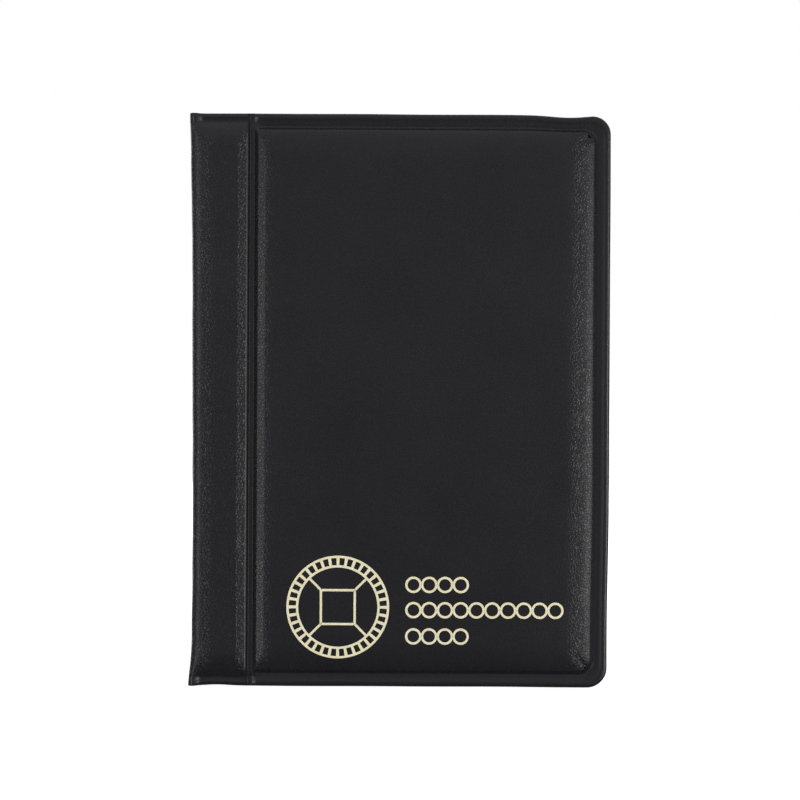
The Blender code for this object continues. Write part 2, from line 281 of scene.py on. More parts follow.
def closed_sheet(outer, inner, ring=False):
    """Points and faces of a closed solid between two grids. A ring's last column joins its first."""
    count, width = outer.shape[:2]
    ids = np.arange(count * width).reshape(count, width)
    shift = count * width
    if ring:
        ids = np.hstack([ids, ids[:, :1]])
        rims = [ids[0], ids[-1, ::-1]]
    else:
        rims = [np.concatenate([ids[0, :-1], ids[:-1, -1], ids[-1, :0:-1], ids[::-1, 0]])]
    walls = [np.stack([rim[1:], rim[:-1], rim[:-1] + shift, rim[1:] + shift], axis=-1) for rim in rims]
    faces = np.concatenate([quads(ids), quads(ids + shift)[:, ::-1], *walls])
    points = np.concatenate([outer.reshape(-1, 3), inner.reshape(-1, 3)])
    return points, faces


def make_mesh(name, points, faces, surface, sharp=50, layers=None):
    """An object from points in mm. layers are named values for each point, for its material."""
    mesh = bpy.data.meshes.new(name)
    mesh.from_pydata((np.asarray(points) * MM).tolist(), [], np.asarray(faces).tolist())
    for layer, values in (layers or {}).items():
        kind = "FLOAT_VECTOR" if values.ndim == 2 else "FLOAT"
        made = mesh.attributes.new(layer, kind, "POINT")
        made.data.foreach_set("vector" if values.ndim == 2 else "value", values.astype(np.float32).ravel())
    clean = bmesh.new()
    clean.from_mesh(mesh)
    bmesh.ops.recalc_face_normals(clean, faces=clean.faces)
    clean.to_mesh(mesh)
    clean.free()
    mesh.shade_smooth()
    mesh.set_sharp_from_angle(angle=math.radians(sharp))
    mesh.materials.append(surface)
    made = bpy.data.objects.new(name, mesh)
    bpy.context.scene.collection.objects.link(made)
    return made


# ---------------------------------------------------------------- materials


class Surface:
    """A node material with a Principled shader, and short ways to add nodes to it."""

    def __init__(self, name, **values):
        self.material = bpy.data.materials.new(name)
        self.material.use_nodes = True
        self.tree = self.material.node_tree
        self.shader = self.tree.nodes["Principled BSDF"]
        for socket, value in values.items():
            self.shader.inputs[socket.replace("_", " ")].default_value = value

    def add(self, kind, settings=None, **inputs):
        node = self.tree.nodes.new("ShaderNode" + kind)
        for key, value in (settings or {}).items():
            setattr(node, key, value)
        for key, value in inputs.items():
            self.feed(node.inputs[key.replace("_", " ")], value)
        return node

    def feed(self, socket, value):
        if isinstance(value, bpy.types.NodeSocket):
            self.tree.links.new(value, socket)
        else:
            socket.default_value = value

    def math(self, operation, a, b=0.0, clamp=False):
        node = self.add("Math", {"operation": operation, "use_clamp": clamp})
        self.feed(node.inputs[0], a)
        self.feed(node.inputs[1], b)
        return node.outputs[0]

    def ramp(self, value, low, high, to_low=0.0, to_high=1.0):
        node = self.add("MapRange", {"clamp": True})
        for socket, item in zip(node.inputs, (value, low, high, to_low, to_high)):
            self.feed(socket, item)
        return node.outputs[0]

    def mix(self, share, a, b):
        node = self.add("Mix", {"data_type": "RGBA"})
        self.feed(node.inputs[0], share)
        self.feed(node.inputs[6], a)
        self.feed(node.inputs[7], b)
        return node.outputs[2]

    def attribute(self, name, output="Fac"):
        return self.add("Attribute", {"attribute_name": name}).outputs[output]

    def noise(self, place, scale, detail=2.0, roughness=0.5):
        inputs = {"Vector": place, "Scale": scale, "Detail": detail, "Roughness": roughness}
        return self.add("TexNoise", **inputs).outputs[0]

    def bump(self, height, distance, strength=1.0):
        node = self.add("Bump", Height=height, Distance=distance, Strength=strength)
        self.feed(self.shader.inputs["Normal"], node.outputs[0])
        return node

    def set(self, socket, value):
        self.feed(self.shader.inputs[socket], value)


def grain(s, place):
    """Leather grain from 0 in its creases to 1 on its pebbles, about 0.8 mm across."""
    bend = s.add("TexNoise", Vector=place, Scale=900.0, Detail=1.0).outputs["Color"]
    centred = s.add("VectorMath", {"operation": "SUBTRACT"})
    s.feed(centred.inputs[0], bend)
    centred.inputs[1].default_value = (0.5, 0.5, 0.5)
    small = s.add("VectorMath", {"operation": "SCALE"}, Scale=0.0007)
    s.feed(small.inputs[0], centred.outputs[0])
    moved = s.add("VectorMath", {"operation": "ADD"})
    s.feed(moved.inputs[0], place)
    s.feed(moved.inputs[1], small.outputs[0])
    cells = s.add(
        "TexVoronoi", {"feature": "DISTANCE_TO_EDGE"}, Vector=moved.outputs[0], Scale=1250.0
    ).outputs["Distance"]
    return s.ramp(cells, 0.0, 0.22)


def leatherette():
    s = Surface("black_leatherette", Base_Color=(0.01, 0.01, 0.011, 1), IOR=1.5, Coat_Roughness=0.38)
    place = s.attribute("rest", "Vector")
    press = s.attribute("press")
    pebble = grain(s, place)
    fine = s.noise(place, 5200.0, 2.0, 0.6)
    broad = s.noise(place, 45.0, 3.0, 0.55)
    raised = s.math("ADD", s.math("MULTIPLY", pebble, 0.72), s.math("MULTIPLY", fine, 0.28))
    open_grain = s.math("SUBTRACT", 1.0, s.math("MULTIPLY", press, 0.78))
    s.bump(s.math("MULTIPLY", raised, open_grain), 0.0001, 1.0)
    shade = s.mix(pebble, (0.0066, 0.0065, 0.0096, 1), (0.0096, 0.0094, 0.0134, 1))
    shade = s.mix(s.ramp(broad, 0.35, 0.7, 0.0, 0.35), shade, (0.0114, 0.0112, 0.0154, 1))
    crease = s.attribute("crease")
    # Painted shade: where the crease layer is high (wall foot, crown wall, rim bead, strip's lip), the base
    # colour is darkened to near black.
    s.set("Base Color", s.mix(s.math("MULTIPLY", crease, 0.7, True), shade, (0.002, 0.002, 0.003, 1)))
    rough = s.math("ADD", s.ramp(pebble, 0, 1, 0.27, 0.19), s.ramp(broad, 0.3, 0.7, -0.02, 0.03))
    rough = s.math("ADD", rough, s.math("MULTIPLY", press, 0.06))
    s.set("Roughness", s.math("ADD", rough, s.math("MULTIPLY", crease, 0.5)))
    s.set("Coat Weight", s.ramp(crease, 0.0, 1.0, 0.6, 0.06))
    return s.material


def lining():
    s = Surface("black_lining", Base_Color=(0.011, 0.011, 0.0115, 1), Roughness=0.42)
    place = s.attribute("rest", "Vector")
    broad = s.noise(place, 60.0, 3.0)
    fine = s.noise(place, 2600.0, 2.0, 0.6)
    s.bump(s.math("ADD", s.math("MULTIPLY", fine, 0.25), broad), 0.0003, 0.25)
    s.set("Roughness", s.ramp(broad, 0.3, 0.7, 0.36, 0.5))
    s.set("Base Color", s.mix(fine, (0.009, 0.009, 0.0095, 1), (0.014, 0.014, 0.0145, 1)))
    return s.material


def clear_film():
    s = Surface("clear_film", Base_Color=(0.82, 0.85, 0.86, 1), Roughness=0.14, IOR=1.5)
    place = s.attribute("rest", "Vector")
    weld = s.attribute("weld")
    ripple = s.noise(place, 55.0, 2.0, 0.4)
    knurl = s.add("TexVoronoi", {"feature": "F1"}, Vector=place, Scale=1500.0).outputs["Distance"]
    height = s.math("ADD", ripple, s.math("MULTIPLY", s.math("MULTIPLY", knurl, weld), 0.35))
    s.bump(height, 0.0006, 0.35)
    s.set("Alpha", s.ramp(weld, 0, 1, 0.26, 0.5))
    s.set("Roughness", s.math("ADD", s.ramp(ripple, 0.3, 0.7, 0.1, 0.2), s.math("MULTIPLY", weld, 0.2)))
    return s.material


def margin_film():
    s = Surface("margin_film", Base_Color=(0.80, 0.83, 0.84, 1), Roughness=0.3, IOR=1.5)
    place = s.add("TexCoord").outputs["Object"]
    haze = s.noise(place, 120.0, 3.0)
    s.bump(s.noise(place, 900.0), 0.0002, 0.2)
    s.set("Alpha", s.ramp(haze, 0.3, 0.7, 0.55, 0.7))
    s.set("Roughness", s.ramp(haze, 0.3, 0.7, 0.25, 0.4))
    return s.material


def gold_foil():
    s = Surface("gold_foil", Base_Color=(0.95, 0.88, 0.6, 1), Metallic=0.2, Roughness=0.34)
    place = s.add("TexCoord").outputs["Object"]
    pebble = grain(s, place)
    wear = s.noise(place, 700.0, 3.0, 0.6)
    s.bump(s.math("ADD", pebble, s.math("MULTIPLY", wear, 0.5)), 0.00008, 0.3)
    tone = s.mix(s.ramp(wear, 0.3, 0.7), (0.93, 0.84, 0.52, 1), (0.99, 0.94, 0.70, 1))
    s.set("Base Color", tone)
    s.set("Roughness", s.ramp(wear, 0.3, 0.7, 0.3, 0.42))
    return s.material


def greyboard():
    s = Surface("greyboard", Base_Color=(0.36, 0.33, 0.29, 1), Roughness=0.9)
    place = s.add("TexCoord").outputs["Object"]
    flecks = s.noise(place, 1400.0, 4.0, 0.7)
    s.set("Base Color", s.mix(flecks, (0.27, 0.25, 0.22, 1), (0.46, 0.42, 0.37, 1)))
    s.bump(flecks, 0.0001, 0.4)
    return s.material


def foam():
    s = Surface("white_foam", Base_Color=(0.8, 0.8, 0.78, 1), Roughness=0.95)
    place = s.add("TexCoord").outputs["Object"]
    pores = s.add("TexVoronoi", Vector=place, Scale=2200.0).outputs["Distance"]
    s.set("Base Color", s.mix(pores, (0.62, 0.62, 0.6, 1), (0.86, 0.86, 0.84, 1)))
    s.bump(pores, 0.0002, 0.5)
    return s.material


def steel():
    s = Surface("nickelled_steel", Base_Color=(0.62, 0.62, 0.6, 1), Metallic=1.0, Roughness=0.3)
    place = s.add("TexCoord").outputs["Object"]
    spots = s.noise(place, 800.0, 3.0)
    s.set("Roughness", s.ramp(spots, 0.3, 0.7, 0.24, 0.38))
    s.bump(spots, 0.00005, 0.2)
    return s.material


LEATHERETTE = leatherette()
LINING = lining()
FILM = clear_film()
MARGIN = margin_film()
GOLD = gold_foil()
BOARD = greyboard()
FOAM = foam()
STEEL = steel()

# ---------------------------------------------------------------- covers

# Steps between a sheet's points, as (distance from a free edge, step there)
FINE = [(0, 0.16), (1.0, 0.25), (3.2, 0.3), (3.7, 0.13), (5.3, 0.16), (8, 0.5), (15, 1.1)]
FINE += [(30, 2.0), (90, 2.0)]
COARSE = [(0, 0.4), (6, 0.6), (15, 2.0), (40, 3.5), (90, 3.5)]


def edge_distance(x, z):
    """The distance in from the nearest free edge."""
    return np.minimum(FORE_X - x, np.minimum(z, HEIGHT - z))


def panel_puff(x, z, m, seed):
    """The slight unevenness of the padded panel's level part."""
    return 0.07 * wobble(x, z, 52, seed + 1) * smooth_step(m, 12, 22) * smooth_step(x, -40, -30)


def panel_depth(x, z, m, seed):
    """The crowned panel's depth at its free edges, where m is the distance from the nearest one."""
    a, b = FORE_X - x, np.minimum(z, HEIGHT - z)
    width = 3.0
    share = np.clip(width - np.abs(a - b), 0, None) / width
    rounder = np.minimum(a, b) - share**2 * width / 4
    sway = 0.45 * wobble(x, z, 34, seed) + 0.25 * wobble(x, z, 13, seed + 2)
    crown = np.minimum(m, np.where(m > FLANGE + 1, rounder, m))
    crown = np.where(m > FLANGE, FLANGE + np.maximum(crown - FLANGE, 0.02), m)
    loose = smooth_step(m, 5, 9)
    return free_edge(np.maximum(crown + sway * loose, 0))


def cover_sheet(path, steps):
    """A cover sheet's grids of x, z and base depth, and its columns' normals and arc lengths."""
    points, outward, length = columns(path, steps)
    z_line = rows(steps)
    x = np.broadcast_to(points[:, 0], (len(z_line), len(points))).copy()
    z = np.broadcast_to(z_line[:, None], x.shape).copy()
    base_depth = np.broadcast_to(points[:, 1], x.shape)
    return x, z, base_depth, outward, length


def on_side(x, depth, z, side):
    """A grid of points from their x, z and depth."""
    return np.stack([x, side * (HALF - depth), z], axis=-1)


def skin_press(x, m, from_end):
    """How far the grain is pressed or stretched flat, from 0 to 1."""
    flange = 1 - smooth_step(m, FLANGE - 0.2, FLANGE + 0.8)
    groove = smooth_step(x, -47.3, -46.9) * (1 - smooth_step(x, -44.4, -43.8))
    strip_weld = 1 - smooth_step(from_end, 2.6, 4.0)
    panel = 0.92 * smooth_step(FORE_X - x, 8, 13.5) * smooth_step(x, -42, -38)
    strip = 0.78 * smooth_step(x, -60, -56) * (1 - smooth_step(x, -51, -48))
    press = np.where(x < STRIP_END_X, strip_weld, np.maximum(flange, groove))
    return np.maximum(press, panel + strip)


def dull_and_shaded_creases(x, m, from_end, on_panel):
    """Where the leatherette is dull and darkened with painted shade: the foot of the wall, the rim bead and
    the strip's lip.
    """
    foot = bump(FORE_X - x, FLANGE - 0.2, 0.45) * smooth_step(from_end, 4, 9)
    wall = 0.3 * bump(FORE_X - x, 5.6, 0.8)
    bead = 0.4 * bump(m, RIM_BEAD, 0.5) * on_panel
    return foot + wall + bead + 1.2 * bump(x, -46.45, 0.35)


def skin_grids(side, seed):
    """The leatherette of one half: spine, strip, groove and panel in one sheet."""
    x, z, base_depth, outward, length = cover_sheet(SKIN_PATH, FINE)
    m = edge_distance(x, z)
    from_end = np.minimum(z, HEIGHT - z)
    on_panel = smooth_step(x, -46.0, -42.5)
    wrapped = 1 - smooth_step(x, -63.3, -60.6)
    ends = strip_end(from_end + 0.5 * wobble(x, z, 17, seed + 4) * smooth_step(from_end, 3, 6))
    cut = ends * (1 - on_panel) + panel_depth(x, z, m, seed) * on_panel
    depth = norm(base_depth, cut * (1 - wrapped)) + panel_puff(x, z, m, seed)
    sway = spine_sway(z) + 0.12 * wobble(z, x, 21, seed + 5)
    round_x, round_z = round_corners(x, z)
    new_x, new_z = settle(round_x, round_z)
    new_x = new_x + wrapped * sway
    inner_x = new_x - outward[:, 0] * SKIN
    inner_depth = np.minimum(depth - outward[:, 1] * SKIN, np.where(x > -60, SHEET_LIMIT, 99))
    outer = on_side(new_x, depth, new_z, side)
    inner = on_side(inner_x, inner_depth, new_z, side)
    rest = rest_places(length, round_x - x, new_z, side)
    return outer, inner, rest, skin_press(x, m, from_end), dull_and_shaded_creases(x, m, from_end, on_panel)


def rest_places(length, shift, z, side):
    """Where each point lies on the sheet before it is bent, in metres, for the materials."""
    along = (length + shift) * -side
    return np.stack([along, z, np.zeros_like(z)], axis=-1) * MM


def doubled(values):
    flat = values.reshape(-1, values.shape[-1]) if values.ndim == 3 else values.ravel()
    return np.concatenate([flat, flat])


def cover_skin(word, side, seed):
    outer, inner, rest, press, crease = skin_grids(side, seed)
    points, faces = closed_sheet(outer, inner)
    # The crease layer carries the dull places and the painted shade to the leatherette.
    layers = {"rest": doubled(rest), "press": doubled(press), "crease": doubled(crease)}
    made = make_mesh(f"{word}_leatherette", points, faces, LEATHERETTE, 50, layers)
    bend_at_groove(made)
    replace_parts(made, f"{word}_cover_skin", f"{word}_hinge_web")
    return made


def cover_lining(word, side, seed):
    """The smooth inner sheet of one half, drawn out to the leatherette along the welded edges."""
    x, z, base_depth, outward, length = cover_sheet(LINING_PATH, COARSE)
    wrapped = 1 - smooth_step(x, -61.7, -59.0)
    weld = 1 - smooth_step(np.minimum(z, HEIGHT - z), 2.6, 8.0)
    edge = 1 - smooth_step(edge_distance(x, z), FLANGE - 0.6, FLANGE + 0.5)
    depth = base_depth - 0.06 * edge * (x > -59) - 0.05 * wobble(x, z, 40, seed + 7) * (1 - edge)
    sway = (-1.55 + spine_sway(z)) * weld
    round_x, round_z = round_corners(x, z)
    new_x, new_z = settle(round_x, round_z)
    rest = rest_places(length, new_x - x, new_z, side)
    new_x = new_x + wrapped * sway
    outer = on_side(new_x, depth, new_z, side)
    inner_x = new_x - outward[:, 0] * LINING_THICKNESS
    inner = on_side(inner_x, depth - outward[:, 1] * LINING_THICKNESS, new_z, side)
    points, faces = closed_sheet(outer, inner)
    made = make_mesh(f"{word}_lining", points, faces, LINING, 50, {"rest": doubled(rest)})
    bend_at_groove(made)
    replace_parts(made, f"{word}_cover_liner")
    return made


def bend_at_groove(piece):
    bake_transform(piece)


def cover_padding(word, side, seed):
    """The foam under a panel: flat below, and following the leatherette's crown above."""
    x_line = np.linspace(PANEL_X + PADDING_FROM_GROOVE, FORE_X - PADDING_INSET, 48)
    z_line = np.linspace(PADDING_INSET, HEIGHT - PADDING_INSET, 68)
    x, z = np.meshgrid(x_line, z_line)
    top = np.minimum(panel_depth(x, z, edge_distance(x, z), seed) + SKIN + 0.12, PADDING_BASE - 0.05)
    x, z = settle(*round_corners(x, z))
    outer = on_side(x, top, z, side)
    inner = on_side(x, np.full_like(x, PADDING_BASE), z, side)
    points, faces = closed_sheet(outer, inner)
    made = make_mesh(f"{word}_padding", points, faces, FOAM, 40)
    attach(made, f"{word}_cover")
    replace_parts(made, f"{word}_cover_foam")
    return made


def board(node, body, corners):
    """A stiff board with rounded corners and slightly crushed edges, in the place of a CAD board.

    corners are the radii in mm, going round from the lowest corner.
    """
    low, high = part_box(node)
    thin = min(range(3), key=lambda axis: high[axis] - low[axis])
    u, v = [axis for axis in range(3) if axis != thin]
    outline = []
    for i, radius in enumerate(corners):
        at_u, at_v = i in (1, 2), i in (2, 3)
        centre_u = high[u] - radius * MM if at_u else low[u] + radius * MM
        centre_v = high[v] - radius * MM if at_v else low[v] + radius * MM
        for angle in np.radians(np.linspace(180, 270, 9) + 90 * i):
            point = [0.0, 0.0, 0.0]
            point[u] = centre_u + radius * MM * math.cos(angle)
            point[v] = centre_v + radius * MM * math.sin(angle)
            point[thin] = low[thin]
            outline.append(point)
    bm = bmesh.new()
    base = bm.faces.new([bm.verts.new(point) for point in outline])
    grown = bmesh.ops.extrude_face_region(bm, geom=[base])
    lifted = [item for item in grown["geom"] if isinstance(item, bmesh.types.BMVert)]
    rise = [0.0, 0.0, 0.0]
    rise[thin] = high[thin] - low[thin]
    bmesh.ops.translate(bm, verts=lifted, vec=rise)
    flats = [face for face in bm.faces if len(face.verts) > 4]
    edges = list({edge for face in flats for edge in face.edges})
    bmesh.ops.bevel(bm, geom=edges, offset=BOARD_BEVEL * MM, segments=2, affect="EDGES", profile=0.5)
    bmesh.ops.recalc_face_normals(bm, faces=bm.faces)
    mesh = bpy.data.meshes.new(f"{node}_cut")
    bm.to_mesh(mesh)
    bm.free()
    mesh.shade_smooth()
    mesh.set_sharp_from_angle(angle=math.radians(40))
    mesh.materials.append(BOARD)
    made = bpy.data.objects.new(f"{node}_cut", mesh)
    bpy.context.scene.collection.objects.link(made)
    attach(made, body)
    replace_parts(made, node)


for word, side in (("front", -1), ("back", 1)):
    skin_piece = cover_skin(word, side, SEEDS[word])
    lining_piece = cover_lining(word, side, SEEDS[word])
    cover_padding(word, side, SEEDS[word])
    board(f"{word}_cover_board", f"{word}_cover", (BOUND_CORNER, BOARD_CORNER, BOARD_CORNER, BOUND_CORNER))
    board(f"{word}_strip_board", "binding", (BOUND_CORNER,) * 4)
    if word == "front":
        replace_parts(skin_piece, "spine_skin")
        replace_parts(lining_piece, "spine_liner")

board("spine_board", "binding", (BOUND_CORNER,) * 4)

# ---------------------------------------------------------------- foil

EMBLEM = (-18.6, 24.5)
EMBLEM_RADIUS = 15.65
STROKE = 0.7
REEDS = 36
REED_BAND = 2.2
SQUARE_HALF = 4.8
FOIL_ROWS = {"foil_row_1": (31.4, 4), "foil_row_2": (23.7, 10), "foil_row_3": (15.7, 4)}
ROW_X = 1.9
RING_RADIUS = 2.5
RING_PITCH = 4.8
FOIL_PROUD = 0.045
FOIL_SUNK = 0.05


def band(radii, centre, start, end, steps):
    """A grid of (x, z) points over part of a ring, angles in degrees."""
    angles = np.radians(np.linspace(start, end, steps + 1))
    circle = np.column_stack([np.cos(angles), np.sin(angles)])
    return np.stack([np.array(centre) + r * circle for r in radii])


def bar(start, end, width, steps=6):
    """A grid of (x, z) points over a straight bar."""
    start, end = np.array(start, float), np.array(end, float)
    along = (end - start) / np.linalg.norm(end - start)
    across = np.array([-along[1], along[0]]) * width / 2
    line = start + (end - start) * np.linspace(0, 1, steps + 1)[:, None]
    return np.stack([line + across, line, line - across])


def drape(grids, name):
    """Foil over the front panel's surface: each grid of (x, z) points becomes a thin closed patch.

    A grid that ends where it starts becomes a ring.
    """
    seed = SEEDS["front"]
    groove_x, groove_depth = zip(*[point[:2] for point in SKIN_PATH[7:]])
    all_points, all_faces, offset = [], [], 0
    for grid in grids:
        x, z = grid[..., 0], grid[..., 1]
        m = edge_distance(x, z)
        base_depth = np.interp(x, groove_x, groove_depth)
        depth = norm(base_depth, panel_depth(x, z, m, seed)) + panel_puff(x, z, m, seed)
        outer = on_side(x, depth - FOIL_PROUD, z, -1)
        inner = on_side(x, depth + FOIL_SUNK, z, -1)
        ring = np.allclose(outer[:, 0], outer[:, -1])
        if ring:
            outer, inner = outer[:, :-1], inner[:, :-1]
        points, faces = closed_sheet(outer, inner, ring)
        all_points.append(points)
        all_faces.append(faces + offset)
        offset += len(points)
    made = make_mesh(name, np.concatenate(all_points), np.concatenate(all_faces), GOLD, 40)
    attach(made, "front_cover")
    return made


def emblem_grids():
    """The plain cash coin: outer ring, reeds, inner ring, four spokes and a square."""
    outer = EMBLEM_RADIUS - STROKE
    inner = outer - REED_BAND
    field = inner - STROKE
    grids = [
        band((EMBLEM_RADIUS, outer), EMBLEM, 0, 360, 144),
        band((inner, field), EMBLEM, 0, 360, 120),
    ]
    step = 360 / REEDS
    for i in range(REEDS):
        radii = (outer + 0.02, (outer + inner) / 2, inner - 0.02)
        grids.append(band(radii, EMBLEM, (i - 0.18) * step, (i + 0.18) * step, 2))
    half = SQUARE_HALF + STROKE / 2
    corners = [(half, half), (-half, half), (-half, -half), (half, -half)]
    x0, z0 = EMBLEM
    for i, (x, z) in enumerate(corners):
        to_x, to_z = corners[(i + 1) % 4]
        reach = STROKE / 2 / half
        start = (x0 + x + (x - to_x) * reach / 2, z0 + z + (z - to_z) * reach / 2)
        grids.append(bar(start, (x0 + to_x, z0 + to_z), STROKE))
        diagonal = math.hypot(x, z)
        tip = (field + 0.02) / diagonal
        grids.append(bar((x0 + x, z0 + z), (x0 + x * tip, z0 + z * tip), STROKE))
    return grids


def row_grids(z, rings):
    """A row of small linked rings."""
    grids = []
    for i in range(rings):
        centre = (ROW_X + RING_RADIUS + RING_PITCH * i, z)
        grids.append(band((RING_RADIUS, RING_RADIUS - STROKE), centre, 0, 360, 40))
    return grids


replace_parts(drape(emblem_grids(), "foil_emblem_stamped"), "foil_emblem")
for name, (z, rings) in FOIL_ROWS.items():
    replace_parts(drape(row_grids(z, rings), name + "_stamped"), name)

# ---------------------------------------------------------------- pages

POCKET_ROWS = 4
POCKET_COLUMNS = 3
MOUTH_HALF = 12.0
MOUTH_HEIGHT = 1.0
MOUTH_DROP = 6.0
NOTCH = 6.0
SEAM = 0.9
BULGE = 0.42
FILM_THICKNESS = 0.12
WELDED_DEPTH = 0.13
PAGE_CORNER = 3.0
PAGE_BEND = 3.0
MARGIN_GAP = 0.5
DASH_INSET = 2.2
DASH_PITCH = 4.2


def seam_line(low, high, count, inner_steps):
    """Places across pockets: each seam gets its two sides, and each pocket a few places between."""
    edges = np.linspace(low, high, count + 1)
    at = [low]
    for a, b in zip(edges, edges[1:]):
        inside = (1 - np.cos(np.linspace(0, math.pi, inner_steps))) / 2
        at += list(a + SEAM + (b - a - 2 * SEAM) * inside)
    at.append(high)
    return np.array(at), edges


def pocket_sheet(x0, x1, z0, z1):
    """One front sheet with twelve pockets, as a mesh in mm whose back lies at y = 0."""
    x_line, x_edges = seam_line(x0, x1, POCKET_COLUMNS, 11)
    z_line, z_edges = seam_line(z0, z1, POCKET_ROWS, 13)
    x, z = np.meshgrid(x_line, z_line)

    def inside(line, edges):
        cell = np.clip(np.searchsorted(edges, line, side="right") - 1, 0, len(edges) - 2)
        t = (line - edges[cell] - SEAM) / (edges[cell + 1] - edges[cell] - 2 * SEAM)
        return np.clip(4 * t * (1 - t), 0, 1)

    puff = (inside(x, x_edges) * inside(z, z_edges)) ** 0.35
    front = -(WELDED_DEPTH + BULGE * puff)
    outer = np.stack([x, front, z], axis=-1)
    inner = np.stack([x, front + FILM_THICKNESS, z], axis=-1)
    points, faces = closed_sheet(outer, inner)
    weld = 1 - smooth_step(puff, 0.0, 0.35)
    rest = np.stack([x, z, np.zeros_like(x)], axis=-1) * MM
    layers = {"rest": doubled(rest), "weld": doubled(weld)}
    sheet = make_mesh("pocket_pattern", points, faces, FILM, 50, layers)
    return sheet, x_edges, z_edges


def mouth_cutter(x_edges, z_edges):
    """Prisms that cut each pocket's slit and thumb notch."""
    bm = bmesh.new()
    for a, b in zip(x_edges, x_edges[1:]):
        for top in z_edges[1:]:
            x, z = (a + b) / 2, top - MOUTH_DROP
            right, left, upper = x + MOUTH_HALF, x - MOUTH_HALF, z + MOUTH_HEIGHT
            shape = [(right, z), (right, upper), (left, upper), (left, z)]
            for angle in np.radians(np.linspace(180, 360, 17)):
                shape.append((x + NOTCH * math.cos(angle), z + NOTCH * math.sin(angle)))
            base = bm.faces.new([bm.verts.new((px * MM, -2 * MM, pz * MM)) for px, pz in shape])
            grown = bmesh.ops.extrude_face_region(bm, geom=[base])
            top_points = [v for v in grown["geom"] if isinstance(v, bmesh.types.BMVert)]
            bmesh.ops.translate(bm, verts=top_points, vec=(0, 4 * MM, 0))
    bmesh.ops.recalc_face_normals(bm, faces=bm.faces)
    mesh = bpy.data.meshes.new("mouth_cutter")
    bm.to_mesh(mesh)
    bm.free()
    made = bpy.data.objects.new("mouth_cutter", mesh)
    bpy.context.scene.collection.objects.link(made)
    return made


def cut_pockets(x0, x1, z0, z1):
    sheet, x_edges, z_edges = pocket_sheet(x0, x1, z0, z1)
    cutter = mouth_cutter(x_edges, z_edges)
    cut = sheet.modifiers.new("mouths", "BOOLEAN")
    cut.operation = "DIFFERENCE"
    cut.object = cutter
    view = bpy.context.evaluated_depsgraph_get()
    mesh = bpy.data.meshes.new_from_object(sheet.evaluated_get(view), depsgraph=view)
    mesh.name = "pockets"
    for used in (sheet, cutter):
        bpy.data.objects.remove(used)
    return mesh


def page_sheet(number, crease, low, high):
    """The back sheet of a page, in one piece from the binding to the fore-edge."""
    name = f"page_{number:02d}"
    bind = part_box(f"{name}_stub")
    x_start = bind[0].x / MM
    x_line = np.concatenate(
        [
            np.linspace(x_start, crease - 0.4, 14),
            np.linspace(crease, crease + 3.2, 13),
            np.linspace(crease + 5, high.x / MM, 24),
        ]
    )
    z_line = np.linspace(low.z / MM, high.z / MM, 40)
    x, z = np.meshgrid(x_line, z_line)
    a, b = high.x / MM - x, np.minimum(z - z_line[0], z_line[-1] - z)
    corner = (a < PAGE_CORNER) & (b < PAGE_CORNER)
    reach = np.hypot(PAGE_CORNER - a, PAGE_CORNER - b)
    pull = np.where(corner & (reach > PAGE_CORNER), PAGE_CORNER / np.maximum(reach, 1e-6), 1.0)
    x = np.where(corner, high.x / MM - PAGE_CORNER + (PAGE_CORNER - a) * pull, x)
    inset = PAGE_CORNER - (PAGE_CORNER - b) * pull
    z = np.where(corner, np.where(z < HEIGHT / 2, z_line[0] + inset, z_line[-1] - inset), z)
    front, back = low.y / MM + 0.03, high.y / MM - 0.03
    outer = np.stack([x, np.full_like(x, front), z], axis=-1)
    inner = np.stack([x, np.full_like(x, back), z], axis=-1)
    points, faces = closed_sheet(outer, inner)
    rest = np.stack([x + 200 * number, z, np.zeros_like(x)], axis=-1) * MM
    weld = np.maximum(1 - smooth_step(a, 0.8, 1.4), 1 - smooth_step(b, 0.8, 1.4)) * (x > crease + PAGE_BEND)
    layers = {"rest": doubled(rest), "weld": doubled(weld)}
    made = make_mesh(f"{name}_sheet", points, faces, FILM, 50, layers)
    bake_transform(made)
    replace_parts(made, f"{name}_film")
    return made


def page_margin(number, low, high):
    """The stiff strip welded along a page's bound edge, with a row of pressed dashes."""
    name = f"page_{number:02d}"
    end = LIP_X - MARGIN_GAP
    x_line = np.linspace(low.x / MM, end, 18)
    z_line = np.linspace(low.z / MM, high.z / MM, 180)
    x, z = np.meshgrid(x_line, z_line)
    along = np.sin(z * 2 * math.pi / DASH_PITCH)
    dash = bump(x, end - DASH_INSET, 0.55) * smooth_step(along, -0.2, 0.4)
    front = low.y / MM + 0.02 + 0.16 * dash
    outer = np.stack([x, front, z], axis=-1)
    inner = np.stack([x, np.full_like(x, high.y / MM - 0.24), z], axis=-1)
    points, faces = closed_sheet(outer, inner)
    made = make_mesh(f"{name}_margin", points, faces, MARGIN, 60)
    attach(made, "binding")
    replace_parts(made, f"{name}_stub")
    return made


first_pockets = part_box(f"page_{PAGES:02d}_pockets")
pockets = cut_pockets(
    first_pockets[0].x / MM, first_pockets[1].x / MM, first_pockets[0].z / MM, first_pockets[1].z / MM
)
creases = {j["child"]: j["pos_m"] for j in frame["joints"]}
for number in range(1, PAGES + 1):
    name = f"page_{number:02d}"
    crease = creases[name][0] / MM
    low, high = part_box(f"{name}_film")
    page_sheet(number, crease, low, high)
    page_margin(number, *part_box(f"{name}_stub"))
    front = bpy.data.objects.new(f"{name}_pocket_sheet", pockets)
    bpy.context.scene.collection.objects.link(front)
    front.location = (0.0, low.y, 0.0)
    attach(front, name)
    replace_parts(front, f"{name}_pockets")

# ---------------------------------------------------------------- CAD pieces that stay

for name, node in frame["nodes"].items():
    if name.startswith("rivet"):
        node.data.materials.clear()
        node.data.materials.append(STEEL)

# ---------------------------------------------------------------- stage, light and camera

FLOOR_RADIUS = 30.0
